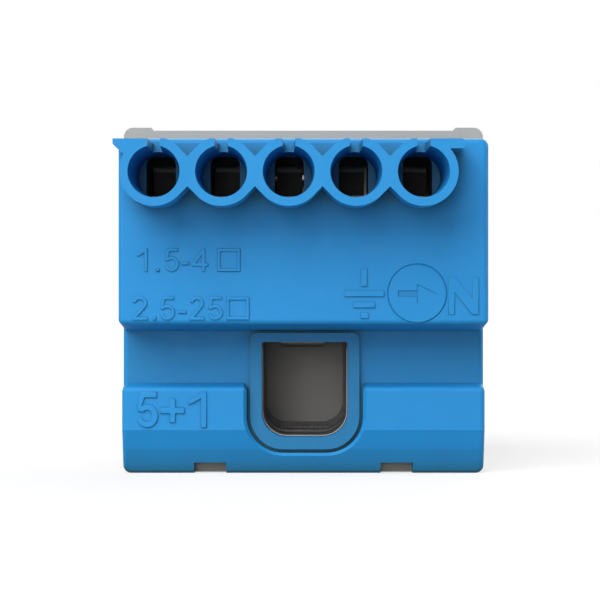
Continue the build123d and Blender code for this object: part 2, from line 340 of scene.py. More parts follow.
@dataclass(frozen=True)
class RecessedFace:
    """A front face at one depth that gets painted shade, for the shade of the steps before it.

    Attributes:
        at: Its place along Y in millimetres.
        reach: How far from that place a face still counts, in millimetres.
        dark: How far its colour goes toward the painted shade's colour, 0 to 1.
        facing: The normal's Y where the painted shade starts and where it is full.
    """

    at: float = -6.5
    reach: float = 0.4
    dark: float = 0.44
    facing: Span = (-0.85, -1.0)

    def mask(self, tree: Tree) -> Socket:
        """Find the face by its Object coordinates and its direction.

        Args:
            tree: The material's node tree.

        Returns:
            A socket that is dark on the face and 0 elsewhere.
        """
        place, turn = NodeBench.split(tree, "Object"), NodeBench.split(tree, "Normal")
        here = NodeBench.maths(tree, "COMPARE", place["Y"], self.at * MM, self.reach * MM)
        shade = NodeBench.ranged(tree, turn["Y"], self.facing, (0.0, self.dark))
        return NodeBench.maths(tree, "MULTIPLY", here, shade)


@dataclass(frozen=True)
class PaintedEdgeHighlight:
    """The slab's rounded upper edge, with a pale painted highlight mixed into its colour.

    Attributes:
        middle: Its middle along Y in millimetres.
        reach: Half its width along Y, in millimetres.
        foot: Its lower limit along Z in millimetres.
        share: How far its colour goes toward the painted highlight's colour, 0 to 1.
        pale: The painted highlight's colour.
        facing: The normal's Z where the painted highlight starts and where it is full.
        level: The normal's Z of the level top, which stays as it is.
    """

    middle: float = -11.26
    reach: float = 0.3
    foot: float = 32.5
    share: float = 0.88
    pale: Colour = (0.30, 0.51, 0.68)
    facing: Span = (0.66, 0.92)
    level: float = 0.985

    def lay(self, tree: Tree, colour: Socket) -> Socket:
        """Mix the painted highlight in along the edge.

        Args:
            tree: The material's node tree.
            colour: The colour of the open surface.

        Returns:
            The colour with the painted highlight.
        """
        place, turn = NodeBench.split(tree, "Object"), NodeBench.split(tree, "Normal")
        amount = NodeBench.ranged(tree, turn["Z"], self.facing, (0.0, self.share))
        limits = (("COMPARE", place["Y"], self.middle * MM, self.reach * MM),
                  ("GREATER_THAN", place["Z"], self.foot * MM),
                  ("LESS_THAN", turn["Z"], self.level))
        for limit in limits:
            amount = NodeBench.maths(tree, "MULTIPLY", amount, NodeBench.maths(tree, *limit))
        return NodeBench.mix(tree, amount, colour, self.pale)


@dataclass(frozen=True)
class MouldedPlastic:
    """Injection-moulded thermoplastic with a fine spark-eroded grain and faint flow marks.

    Attributes:
        shade: Its colour in the darker flow marks.
        roughness: Its middle roughness.
        sunk_mark: A mark sunk into its front face, mark_depth millimetres deep.
        recessed: Its faces that get painted shade, for the shade of the steps before them.
        edge_highlight: Its painted highlight along the top edge.
        crevice_dark: How far an inner corner's colour goes toward the painted shade's colour, 0 to 1.
        crevice_curve: The power that keeps that painted shade to the corners.
        crevice_tint: What the light between the walls adds to the painted shade's colour.
        crevice_share: How much of the shade's colour the painted shade keeps.
        crevice_reach: How far away a wall still darkens, in millimetres.
        crevice_open: The open share of the sky where the shade starts and where it is full.
        crevice_samples: Rays for each look at the sky.
        flow: The flow marks.
        cloud: The soft patches in the gloss, where the roughness goes down and up by rough_range.
        grain: The grain, grain_height metres high.
        shaft_shade_share: How much of the shade's colour the sunk arrow's shaft keeps, as painted shade on
            its floor.
    """

    name: str
    colour: Colour
    shade: Colour
    roughness: float = 0.58
    gloss: float = 0.32
    sunk_mark: EngravedArrow | None = None
    recessed: tuple[RecessedFace, ...] = ()
    edge_highlight: PaintedEdgeHighlight | None = None
    crevice_dark: float = 0.2
    crevice_curve: float = 1.6
    crevice_tint: Colour = (0.01, 0.01, 0.01)
    crevice_share: float = 0.14
    crevice_reach: float = 3.4
    crevice_open: Span = (1.0, 0.2)
    crevice_samples: int = 8
    flow: Pattern = Pattern(90.0, 3.0, (1.0, 1.0, 0.35))
    cloud: Pattern = Pattern(700.0, 2.0)
    rough_range: Span = (-0.04, 0.05)
    grain: Pattern = Pattern(9000.0, 2.0)
    grain_strength: float = 0.35
    grain_height: float = 0.00001
    mark_strength: float = 0.7
    mark_depth: float = 0.14
    shaft_shade_share: float = 0.84

    def build(self) -> bpy.types.Material:
        """Make the material.

        Returns:
            The finished material.
        """
        material, shader, tree = NodeBench.start(self.name)
        flow = NodeBench.ranged(tree, self.flow.lay(tree), NOISE_RANGE)
        colour = NodeBench.mix(tree, flow, self.colour, self.shade)
        limits = tuple(self.roughness + change for change in self.rough_range)
        rough = NodeBench.ranged(tree, self.cloud.lay(tree), NOISE_RANGE, limits)
        tree.links.new(rough, shader.inputs["Roughness"])
        grain = NodeBench.bump(tree, self.grain.lay(tree), self.grain_strength, self.grain_height)
        tree.links.new(grain.outputs["Normal"], shader.inputs["Normal"])
        shader.inputs["Specular IOR Level"].default_value = self.gloss
        if self.sunk_mark is not None:
            colour = self._sink(tree, colour, grain)
        colour = self._paint_corner_shade(tree, colour)
        # Painted highlight along the slab's top edge.
        if self.edge_highlight is not None:
            colour = self.edge_highlight.lay(tree, colour)
        tree.links.new(colour, shader.inputs["Base Color"])
        return material

    def _paint_corner_shade(self, tree: Tree, colour: Socket) -> Socket:
        """Paint shade into the colour in narrow grooves and inner corners, and on the recessed faces.

        Args:
            tree: The material's node tree.
            colour: The colour of the open surface.

        Returns:
            The colour with its painted shade.
        """
        # Ambient occlusion sets how much painted shade goes into the colour.
        corner = tree.nodes.new("ShaderNodeAmbientOcclusion")
        corner.samples = self.crevice_samples
        corner.inputs["Distance"].default_value = self.crevice_reach * MM
        share = NodeBench.ranged(tree, corner.outputs["AO"], self.crevice_open)
        curved = NodeBench.maths(tree, "POWER", share, self.crevice_curve)
        amount = NodeBench.maths(tree, "MULTIPLY", curved, self.crevice_dark)
        for face in self.recessed:
            amount = NodeBench.maths(tree, "MAXIMUM", amount, face.mask(tree))
        painted_shade = tuple(self.crevice_share * part + tint for part, tint in zip(self.shade, self.crevice_tint))
        return NodeBench.mix(tree, amount, colour, painted_shade)

    def _sink(self, tree: Tree, colour: Socket, grain: bpy.types.Node) -> Socket:
        """Lead the sunk mark into the surface's normal, and paint shade on the arrow's shaft.

        Args:
            tree: The material's node tree.
            colour: The colour of the open surface.
            grain: The bump node that gives the grain.

        Returns:
            The colour with the shaft's painted shade.
        """
        sunk, shaft = self.sunk_mark.masks(tree)
        dent = NodeBench.bump(tree, sunk, self.mark_strength, self.mark_depth * MM)
        dent.invert = True
        tree.links.new(dent.outputs["Normal"], grain.inputs["Normal"])
        # Painted shade on the floor of the arrow's sunk shaft.
        return NodeBench.mix(tree, shaft, colour, tuple(self.shaft_shade_share * part for part in self.shade))


@dataclass(frozen=True)
class PlatedMetal:
    """Plated strip or screw steel: a metal with rolling lines and soft patches in its gloss.

    Attributes:
        shade: Its colour in the darker patches.
        roughness: Its middle roughness, which goes down and up by rough_range from line to line.
        stretch: How the rolling lines run: a small number draws them out along that axis.
        patches: The soft patches.
        line_scale: Rolling lines per metre; they stand line_height metres high.
    """

    name: str
    colour: Colour
    shade: Colour
    roughness: float = 0.3
    stretch: Triple = (1.0, 0.08, 1.0)
    patches: Pattern = Pattern(420.0, 4.0)
    line_scale: float = 6000.0
    line_detail: float = 2.0
    rough_range: Span = (-0.06, 0.1)
    line_strength: float = 0.25
    line_height: float = 0.000006

    def build(self) -> bpy.types.Material:
        """Make the material.

        Returns:
            The finished material.
        """
        material, shader, tree = NodeBench.start(self.name)
        shader.inputs["Metallic"].default_value = 1.0
        patches = NodeBench.ranged(tree, self.patches.lay(tree), NOISE_RANGE)
        tree.links.new(NodeBench.mix(tree, patches, self.colour, self.shade), shader.inputs["Base Color"])
        lines = Pattern(self.line_scale, self.line_detail, self.stretch).lay(tree)
        limits = tuple(self.roughness + change for change in self.rough_range)
        tree.links.new(NodeBench.ranged(tree, lines, NOISE_RANGE, limits), shader.inputs["Roughness"])
        bump = NodeBench.bump(tree, lines, self.line_strength, self.line_height)
        tree.links.new(bump.outputs["Normal"], shader.inputs["Normal"])
        return material


# Painted shade on the collar's face round the large window and on the recess under the slab.
COLLAR_FACE = RecessedFace()
RECESS_FACE = RecessedFace(-5.85, 0.2, 0.28)
# The blue cover gets painted shade in its corners and recesses, and a painted highlight on its top edge.
BLUE_PLASTIC = MouldedPlastic(
    "blue_cover_plastic", (0.012, 0.268, 0.635), (0.011, 0.252, 0.605), sunk_mark=EngravedArrow(),
    recessed=(COLLAR_FACE, RECESS_FACE), edge_highlight=PaintedEdgeHighlight(), crevice_dark=1.0,
    crevice_tint=(0.010, 0.048, 0.030),
)
GREY_PLASTIC = MouldedPlastic("grey_base_plastic", (0.405, 0.392, 0.365), (0.382, 0.370, 0.345), 0.55)
DARK_PLASTIC = MouldedPlastic("dark_insert_plastic", (0.060, 0.060, 0.061), (0.052, 0.052, 0.053), 0.46, 0.5)
TIN = PlatedMetal("tinned_busbar", (0.44, 0.427, 0.402), (0.35, 0.34, 0.32), 0.60)
ZINC = PlatedMetal("zinc_plated_cage", (0.62, 0.63, 0.65), (0.50, 0.51, 0.54), 0.30)
SCREW_STEEL = PlatedMetal("zinc_plated_screw", (0.42, 0.43, 0.45), (0.34, 0.35, 0.37), 0.42, (1.0, 1.0, 0.1))
SPRING_STEEL = PlatedMetal("spring_strip", (0.17, 0.172, 0.178), (0.13, 0.133, 0.14), 0.66)

FINISH_OF_SLOT: dict[str, MouldedPlastic | PlatedMetal] = {
    Moulding.BLUE.value: BLUE_PLASTIC,
    Moulding.GREY.value: GREY_PLASTIC,
    Moulding.DARK.value: DARK_PLASTIC,
    "tinned_copper": TIN,
    "zinc_plated_steel": ZINC,
    "screw_steel": SCREW_STEEL,
    "spring_steel": SPRING_STEEL,
}


@dataclass
class Finishes:
    """All finishes of the block, by the record's material slot."""

    made: dict[str, bpy.types.Material] = field(default_factory=dict)

    def build(self) -> None:
        """Make every material once."""
        self.made = {slot: finish.build() for slot, finish in FINISH_OF_SLOT.items()}

    def dress(self, node: bpy.types.Object, slot: str) -> None:
        """Give an object the finish of one slot.

        Args:
            node: The object.
            slot: The record's material slot.
        """
        node.data.materials.clear()
        node.data.materials.append(self.made[slot])

    def dress_nodes(self, frame: dict) -> None:
        """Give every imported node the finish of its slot.

        Args:
            frame: What the frame holds.
        """
        for part in frame["record"]["subparts"]:
            self.dress(frame["nodes"][part["node"]], part["material_slot"])
            log.info("node %s: %s", part["node"], part["material_slot"])


@dataclass
class PieceShop:
    """Turns a bmesh or closed outlines into a finished, placed piece.

    Attributes:
        finishes: The finishes of all slots.
        root: How far a raised outline reaches down into its face, in millimetres.
    """

    finishes: Finishes
    root: float = 0.1

    def from_bmesh(self, name: str, shape: bmesh.types.BMesh, body: str, slot: str) -> bpy.types.Object:
        """Make an object of a bmesh and tie it to a body.

        Args:
            name: The piece's name.
            shape: Its shape, in metres in the row's frame. It is freed here.
            body: The body that it rides on.
            slot: The record's material slot.

        Returns:
            The new object.
        """
        bmesh.ops.recalc_face_normals(shape, faces=shape.faces)
        if shape.calc_volume(signed=True) < 0.0:
            bmesh.ops.reverse_faces(shape, faces=shape.faces)
        mesh = bpy.data.meshes.new(name)
        shape.to_mesh(mesh)
        shape.free()
        piece = bpy.data.objects.new(name, mesh)
        bpy.context.scene.collection.objects.link(piece)
        self.finishes.dress(piece, slot)
        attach(piece, body)
        log.info("piece %s: %d faces on %s", name, len(mesh.polygons), body)
        return piece

    def from_loops(self, name: str, loops: list[Loop], depth: float, rise: float = 0.18,
                   soft: float = 0.06, moulding: Moulding = Moulding.BLUE) -> bpy.types.Object:
        """Raise closed outlines on a front face, with soft edges.

        Args:
            name: The piece's name.
            loops: Outlines of (x, z) points in millimetres; a loop inside another is a hole.
            depth: Depth of the face that they stand on, in millimetres.
            rise: How far they stand out, in millimetres.
            soft: Radius of their edges, in millimetres.
            moulding: The moulding that they belong to.

        Returns:
            The new object.
        """
        curve = bpy.data.curves.new(name, "CURVE")
        curve.dimensions = "2D"
        curve.fill_mode = "BOTH"
        curve.extrude = (rise + self.root) / 2 - soft
        curve.bevel_depth = soft
        curve.bevel_resolution = 1
        curve.offset = -soft
        for loop in loops:
            spline = curve.splines.new("POLY")
            spline.points.add(len(loop) - 1)
            for point, (x, z) in zip(spline.points, loop):
                point.co = (x, z, 0.0, 1.0)
            spline.use_cyclic_u = True
        drawn = bpy.data.objects.new(name, curve)
        bpy.context.scene.collection.objects.link(drawn)
        bpy.context.view_layer.update()
        graph = bpy.context.evaluated_depsgraph_get()
        mesh = bpy.data.meshes.new_from_object(drawn.evaluated_get(graph))
        bpy.data.objects.remove(drawn, do_unlink=True)
        bpy.data.curves.remove(curve)
        shape = bmesh.new()
        shape.from_mesh(mesh)
        bpy.data.meshes.remove(mesh)
        bmesh.ops.remove_doubles(shape, verts=shape.verts, dist=WELD)
        middle = depth + (self.root - rise) / 2
        for vert in shape.verts:
            x, z, height = vert.co
            vert.co = Vector((x * MM, row_y(middle - height), z * MM))
        return self.from_bmesh(name, shape, "housing", moulding.value)


class Figures:
    """Plain figures as closed outlines, w wide, h high and with strokes s thick, in millimetres."""

    @staticmethod
    def arc(cx: float, cz: float, rx: float, rz: float, start: float, end: float, steps: int = 16) -> Loop:
        """Sample an arc of an ellipse.

        Args:
            cx: The centre's x.
            cz: The centre's z.
            rx: Half width.
            rz: Half height.
            start: First angle in degrees.
            end: Last angle in degrees.
            steps: How many stretches it has.

        Returns:
            The points of the arc.
        """
        angles = [math.radians(start + (end - start) * i / steps) for i in range(steps + 1)]
        return [(cx + rx * math.cos(a), cz + rz * math.sin(a)) for a in angles]

    @staticmethod
    def box(x0: float, x1: float, z0: float, z1: float, r: float = 0.04) -> Loop:
        """Outline of a rectangle with round corners."""
        corners = ((x1 - r, z0 + r, -90), (x1 - r, z1 - r, 0),
                   (x0 + r, z1 - r, 90), (x0 + r, z0 + r, 180))
        return [point for cx, cz, a in corners for point in Figures.arc(cx, cz, r, r, a, a + 90, 3)]

    @staticmethod
    def one(w: float, h: float, s: float) -> list[Loop]:
        """The figure 1, with its flag."""
        return [[(w - s, 0), (w, 0), (w, h), (w - 0.7 * s, h), (0.42 * w, 0.85 * h), (0, 0.76 * h),
                 (0, 0.64 * h), (0.36 * w, 0.72 * h), (w - s, 0.82 * h)]]

    @staticmethod
    def two(w: float, h: float, s: float) -> list[Loop]:
        """The figure 2."""
        cx, cz, rx, rz = 0.49 * w, 0.715 * h, 0.47 * w, 0.285 * h
        outer = Figures.arc(cx, cz, rx, rz, -42, 172)
        inner = Figures.arc(cx, cz, rx - s, rz - s, 172, -46)
        return [[(0, 0), (w, 0), (w, s), (1.35 * s, s), *outer, *inner, (0, 0.75 * s)]]

    @staticmethod
    def four(w: float, h: float, s: float) -> list[Loop]:
        """The figure 4, with its open triangle."""
        a, b = 0.62 * w, 0.23 * h
        top = b + s
        run, climb = a + 0.2 * s, h - top
        slant = math.hypot(run, climb) * s
        hole = [(a, top), (a, h - 0.2 * s * climb / run - slant / run), (slant / climb, top)]
        outer = [(a, 0), (a + s, 0), (a + s, b), (w, b), (w, top), (a + s, top), (a + s, h),
                 (a + 0.2 * s, h), (0, top), (0, b), (a, b)]
        return [outer, hole]

    @staticmethod
    def five(w: float, h: float, s: float) -> list[Loop]:
        """The figure 5."""
        cx, cz, rx, rz = 0.49 * w, 0.325 * h, 0.5 * w, 0.325 * h
        outer = Figures.arc(cx, cz, rx, rz, 122, -164, 22)
        inner = Figures.arc(cx, cz, rx - s, rz - s, -164, 140, 22)
        return [[(0.17 * w, h), (0.93 * w, h), (0.93 * w, h - s), (0.17 * w + 0.8 * s, h - s),
                 *outer, *inner, (0.04 * w, 0.47 * h)]]

    @staticmethod
    def dash(w: float, h: float, s: float) -> list[Loop]:
        """A short dash."""
        return [Figures.box(0, w, 0.28 * h, 0.28 * h + s)]

    @staticmethod
    def dot(w: float, h: float, s: float) -> list[Loop]:
        """A point on the line, as high as it is wide."""
        return [Figures.box(0, w, 0, min(w, h))]

    @staticmethod
    def plus(w: float, h: float, s: float) -> list[Loop]:
        """A plus sign in the middle of the line."""
        x0, x1 = (w - s) / 2, (w + s) / 2
        low, high, z0, z1 = 0.14 * h, 0.81 * h, 0.475 * h - s / 2, 0.475 * h + s / 2
        return [[(x0, low), (x1, low), (x1, z0), (w, z0), (w, z1), (x1, z1),
                 (x1, high), (x0, high), (x0, z1), (0, z1), (0, z0), (x0, z0)]]

    @staticmethod
    def neutral(w: float, h: float, s: float) -> list[Loop]:
        """The conductor letter N."""
        rise = h * s * 1.15 / (w - 2.1 * s)
        return [[(0, 0), (s, 0), (s, h - rise), (w - 1.1 * s, 0), (w, 0), (w, h), (w - s, h), (w - s, rise),
                 (1.1 * s, h), (0, h)]]


Figure = Callable[[float, float, float], list[Loop]]


@dataclass(frozen=True)
class MarkRow:
    """One line of figures. Lengths are in millimetres.

    Attributes:
        name: The piece's name.
        figures: Each figure with its left and its right edge.
        z0: The line's lower edge.
        z1: Its upper edge.
        stroke: How thick the strokes are.
        face: The face that it stands on.
        rise: How far it stands out.
    """

    name: str
    figures: tuple[tuple[Figure, float, float], ...]
    z0: float
    z1: float
    stroke: float
    face: Face
    rise: float = 0.14

    def loops(self) -> list[Loop]:
        """Outlines of the whole line in the row's frame, in millimetres."""
        placed = []
        for figure, x0, x1 in self.figures:
            for loop in figure(x1 - x0, self.z1 - self.z0, self.stroke):
                placed.append([(x0 + x, self.z0 + z) for x, z in loop])
        return placed


SMALL_WIRE_SIZES = MarkRow(
    "mark_small_wire_sizes",
    ((Figures.one, -16.15, -15.17), (Figures.dot, -14.33, -14.0), (Figures.five, -13.5, -12.08),
     (Figures.dash, -11.88, -11.12), (Figures.four, -10.84, -9.26)),
    20.04, 22.3, 0.3, Face.SLAB,
)
LARGE_WIRE_SIZES = MarkRow(
    "mark_large_wire_sizes",
    ((Figures.two, -16.62, -15.12), (Figures.dot, -14.62, -14.29), (Figures.five, -13.95, -12.48),
     (Figures.dash, -12.2, -11.4), (Figures.two, -11.05, -9.62), (Figures.five, -9.3, -7.82)),
    15.33, 17.62, 0.3, Face.SLAB,
)
ENTRY_COUNT = MarkRow(
    "mark_entry_count",
    ((Figures.five, -16.54, -14.38), (Figures.plus, -14.16, -11.78), (Figures.one, -11.36, -9.6)),
    4.65, 8.18, 0.56, Face.LOWER, 0.18,
)
CONDUCTOR = MarkRow("mark_neutral", ((Figures.neutral, 14.08, 17.02),), 15.87, 19.47, 0.6, Face.SLAB)
SQUARE_SIGNS = (("mark_small_square", -8.38, SMALL_WIRE_SIZES), ("mark_large_square", -7.5, LARGE_WIRE_SIZES))
EARTH_STEM = (5.56, 6.2, 18.6, 20.36)
EARTH_BARS = ((3.95, 7.84, 17.6, 18.2), (4.8, 6.96, 16.52, 17.08), (5.54, 6.32, 15.48, 16.04))


@dataclass
class FaceMarks:
    """The raised marks of the cover. Lengths are in millimetres.
    """

    shop: PieceShop
    square: float = 2.24
    square_stroke: float = 0.3
    square_rise: float = 0.14
    bar_round: float = 0.1
    bar_rise: float = 0.15
    field_rise: float = 0.05
    field_soft: float = 0.015
    field_steps: int = 72

    def build(self) -> None:
        """Make every mark."""
        for row in (SMALL_WIRE_SIZES, LARGE_WIRE_SIZES, ENTRY_COUNT, CONDUCTOR):
            self.shop.from_loops(row.name, row.loops(), row.face.value, row.rise)
        for name, x0, row in SQUARE_SIGNS:
            self._square_sign(name, x0, row.z0)
        self._earth_sign()
        self._turned_insert(EngravedArrow())

    def _turned_insert(self, mark: EngravedArrow) -> None:
        """Raise the round field that the mould's insert leaves, with the arrow sunk into it.

        Args:
            mark: Where the ring and the arrow are.
        """
        r = mark.ring_r
        field_edge = Figures.arc(mark.ring_x, mark.ring_z, r, r, 0, 360, self.field_steps)[:-1]
        upper = [(mark.shaft_x0, mark.shaft_half), (mark.shaft_x1, mark.shaft_half),
                 (mark.shaft_x1, mark.head_half)]
        lower = [(x, -z) for x, z in reversed(upper)]
        arrow = [(x, mark.ring_z + z) for x, z in (*upper, (mark.tip_x, 0.0), *lower)]
        outline = [field_edge, arrow]
        self.shop.from_loops("mark_turned_insert", outline, Face.SLAB.value, self.field_rise, self.field_soft)

    def _square_sign(self, name: str, x0: float, z0: float) -> None:
        """Raise the open square that stands for square millimetres.

        Args:
            name: The piece's name.
            x0: Its left edge in millimetres.
            z0: Its lower edge in millimetres.
        """
        x1, z1, s = x0 + self.square, z0 + self.square, self.square_stroke
        outline = [Figures.box(x0, x1, z0, z1), Figures.box(x0 + s, x1 - s, z0 + s, z1 - s)]
        self.shop.from_loops(name, outline, Face.SLAB.value, self.square_rise)

    def _earth_sign(self) -> None:
        """Raise the earth sign: a stem over three shorter and shorter bars."""
        loops = [Figures.box(*edges, self.bar_round) for edges in (EARTH_STEM, *EARTH_BARS)]
        self.shop.from_loops("mark_earth_sign", loops, Face.SLAB.value, self.bar_rise)


@dataclass
class WindowRim:
    """Thin light-grey strip just inside the large window, along its sides and bottom.

    Lengths are in millimetres.
    """

    shop: PieceShop
    middle: float = 0.14
    half: float = 4.27
    low: float = 3.65
    high: float = 12.5
    corner: float = 2.5
    line: float = 0.10
    seat: float = 12.4
    rise: float = 0.16
    soft: float = 0.02

    def build(self) -> None:
        """Lay the line on the insert's front face, along the sides and the bottom."""
        outer = self._path(0.0)
        inner = self._path(self.line)
        outline = [outer + inner[::-1]]
        self.shop.from_loops("window_rim", outline, self.seat, self.rise, self.soft, Moulding.GREY)

    def _path(self, inset: float) -> Loop:
        """Follow the window down one side, round the bottom and up the other.

        Args:
            inset: Distance from the window's edge in millimetres.

        Returns:
            The points from the upper left to the upper right.
        """
        r = self.corner - inset
        x0, x1 = self.middle - self.half + inset, self.middle + self.half - inset
        z0 = self.low + inset
        left = Figures.arc(x0 + r, z0 + r, r, r, 180, 270, 10)
        right = Figures.arc(x1 - r, z0 + r, r, r, 270, 360, 10)
        return [(x0, self.high), *left, *right, (x1, self.high)]


@dataclass
class ClampScrew:
    """The captive clamp screw with its cut thread, pan head and combined slot and cross recess.

    Lengths are in millimetres. The thread's profile gives where the root's flat ends and where the crest
    starts and ends, as shares of the pitch. Spare turns at both ends are cut off level.
    """

    shop: PieceShop
    x: float = 0.3
    depth: float = 26.0
    tip_z: float = 13.93
    thread_end_z: float = 25.4
    head_z: float = 27.0
    top_z: float = 30.2
    crest_r: float = 2.99
    root_r: float = 2.5
    head_r: float = 4.0
    pitch: float = 1.0
    steps: int = 40
    thread_profile: Triple = (0.1, 0.48, 0.62)
    spare_turns: int = 2
    tip_r: float = 2.35
    tip_slope: float = 0.9
    sides: int = 64
    neck_into_head: float = 0.2
    neck_into_thread: float = 0.02
    neck_bevel: float = 0.3
    under_bevel: float = 0.15
    edge_r: float = 1.1
    edge_steps: int = 6
    slot_width: float = 1.2
    slot_deep: float = 1.15
    cross_long: Span = (5.2, 3.0)
    cross_wide: Span = (1.25, 0.95)
    cross_deep: float = 2.1
    cutter_past: float = 2.0
    cutter_above: float = 0.4
    sharp_degrees: float = 35.0

    def build(self) -> None:
        """Make the screw and let it stand for the plain node."""
        shape = self._shank()
        head = self._head()
        joined = bpy.data.meshes.new("clamp_screw_head_part")
        head.to_mesh(joined)
        head.free()
        shape.from_mesh(joined)
        bpy.data.meshes.remove(joined)
        place = Matrix.Translation(Vector((self.x * MM, row_y(self.depth), 0.0)))
        bmesh.ops.scale(shape, vec=(MM, MM, MM), verts=shape.verts)
        bmesh.ops.transform(shape, matrix=place, verts=shape.verts)
        piece = self.shop.from_bmesh("clamp_screw_threaded", shape, "screw", "screw_steel")
        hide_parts("clamp_screw")
        piece.data.shade_smooth()
        piece.data.set_sharp_from_angle(angle=math.radians(self.sharp_degrees))

    def _shank(self) -> bmesh.types.BMesh:
        """Spin a zigzag up a helix for the thread, cut it level and close its ends.

        Returns:
            The shank about the origin's Z axis, in millimetres.
        """
        root_end, crest_start, crest_end = self.thread_profile
        profile = ((0.0, self.root_r), (root_end, self.root_r),
                   (crest_start, self.crest_r), (crest_end, self.crest_r))
        outline = []
        for turn in range(int(self.thread_end_z - self.tip_z) + 2 * self.spare_turns):
            z = self.tip_z - self.spare_turns + turn * self.pitch
            outline += [(radius, z + share * self.pitch) for share, radius in profile]
        shape = self._spun(outline, self.pitch, self.steps)
        for level, side in ((self.tip_z, -1.0), (self.thread_end_z, 1.0)):
            geom = list(shape.verts) + list(shape.edges) + list(shape.faces)
            bmesh.ops.bisect_plane(
                shape, geom=geom, dist=CUT_ROOM, plane_co=(0.0, 0.0, level), plane_no=(0.0, 0.0, side),
                clear_outer=True, clear_inner=False,
            )
            rim = [e for e in shape.edges
                   if e.is_boundary and all(abs(v.co.z - level) < ON_CUT for v in e.verts)]
            bmesh.ops.edgeloop_fill(shape, edges=rim)
        for vert in shape.verts:
            reach = math.hypot(vert.co.x, vert.co.y)
            allowed = self.tip_r + (vert.co.z - self.tip_z) * self.tip_slope
            if reach > allowed:
                vert.co.x *= allowed / reach
                vert.co.y *= allowed / reach
        upper = self.head_z + self.neck_into_head
        middle = (upper + self.thread_end_z - self.neck_into_thread) / 2
        neck = bmesh.ops.create_cone(
            shape, cap_ends=True, segments=self.sides, radius1=self.crest_r, radius2=self.crest_r,
            depth=upper - self.thread_end_z + self.neck_into_thread,
            matrix=Matrix.Translation(Vector((0.0, 0.0, middle))),
        )
        low_rim = [e for e in {e for v in neck["verts"] for e in v.link_edges}
                   if all(v.co.z < self.thread_end_z + self.neck_into_thread for v in e.verts)]
        bmesh.ops.bevel(shape, geom=low_rim, offset=self.neck_bevel, segments=2, profile=0.5,
                        affect="EDGES", material=-1)
        return shape

    def _head(self) -> bmesh.types.BMesh:
        """Spin the pan head and cut its recess.

        Returns:
            The head about the origin's Z axis, in millimetres.
        """
        r = self.edge_r
        edge = Figures.arc(self.head_r - r, self.top_z - r, r, r, 0, 90, self.edge_steps)
        outline = [(0.0, self.head_z), (self.head_r - self.under_bevel, self.head_z),
                   (self.head_r, self.head_z + self.under_bevel), *edge, (0.0, self.top_z)]
        shape = self._spun(outline, 0.0, self.sides)
        bmesh.ops.recalc_face_normals(shape, faces=shape.faces)
        through = 2 * self.head_r + self.cutter_past
        slot = self._cutter((through, through), (self.slot_width, self.slot_width), self.slot_deep)
        arm = self._cutter(self.cross_long, self.cross_wide, self.cross_deep)
        cross = self._cutter(self.cross_wide, self.cross_long, self.cross_deep)
        return self._cut(shape, [slot, arm, cross])

    @staticmethod
    def _spun(outline: Loop, climb: float, steps: int) -> bmesh.types.BMesh:
        """Spin an open outline once round the Z axis.

        Args:
            outline: Its points, each a radius and a Z, in millimetres.
            climb: How far it climbs in one turn; 0 closes it.
            steps: Stretches in one turn.

        Returns:
            The surface, in millimetres.
        """
        shape = bmesh.new()
        verts = [shape.verts.new((radius, 0.0, z)) for radius, z in outline]
        for low, high in zip(verts, verts[1:]):
            shape.edges.new((low, high))
        bmesh.ops.spin(
            shape, geom=list(shape.verts) + list(shape.edges), cent=(0.0, 0.0, 0.0), axis=(0.0, 0.0, 1.0),
            dvec=(0.0, 0.0, climb / steps), angle=math.tau, steps=steps, use_merge=climb == 0.0,
        )
        bmesh.ops.remove_doubles(shape, verts=shape.verts, dist=WELD)
        return shape

    def _cutter(self, along_x: Span, along_y: Span, deep: float) -> bmesh.types.BMesh:
        """Tapered block that stands in the head's top.

        Args:
            along_x: Its length along X at the head's top and at the recess's floor.
            along_y: Its length along Y at the head's top and at the recess's floor.
            deep: The recess's depth.

        Returns:
            The cutter, in millimetres.
        """
        shape = bmesh.new()
        bmesh.ops.create_cube(shape, size=1.0)
        grow = 1.0 + self.cutter_above / deep
        for vert in shape.verts:
            high = vert.co.z > 0
            x, y = (low + (top - low) * grow if high else low for top, low in (along_x, along_y))
            z = self.top_z + self.cutter_above if high else self.top_z - deep
            vert.co = Vector((math.copysign(x / 2, vert.co.x), math.copysign(y / 2, vert.co.y), z))
        return shape

    @staticmethod
    def _cut(shape: bmesh.types.BMesh, cutters: list[bmesh.types.BMesh]) -> bmesh.types.BMesh:
        """Take cutters out of a closed shape.

        Args:
            shape: The closed shape. It is freed here.
            cutters: The closed cutters. They are freed here.

        Returns:
            What is left.
        """
        objects = []
        for number, part in enumerate([shape, *cutters]):
            mesh = bpy.data.meshes.new(f"cut_work_{number}")
            part.to_mesh(mesh)
            part.free()
            item = bpy.data.objects.new(mesh.name, mesh)
            bpy.context.scene.collection.objects.link(item)
            objects.append(item)
        for cutter in objects[1:]:
            modifier = objects[0].modifiers.new(cutter.name, "BOOLEAN")
            modifier.operation = "DIFFERENCE"
            modifier.solver = "EXACT"
            modifier.object = cutter
        bpy.context.view_layer.update()
        graph = bpy.context.evaluated_depsgraph_get()
        mesh = bpy.data.meshes.new_from_object(objects[0].evaluated_get(graph))
        left = bmesh.new()
        left.from_mesh(mesh)
        bpy.data.meshes.remove(mesh)
        for item in objects:
            data = item.data
            bpy.data.objects.remove(item, do_unlink=True)
            bpy.data.meshes.remove(data)
        return left


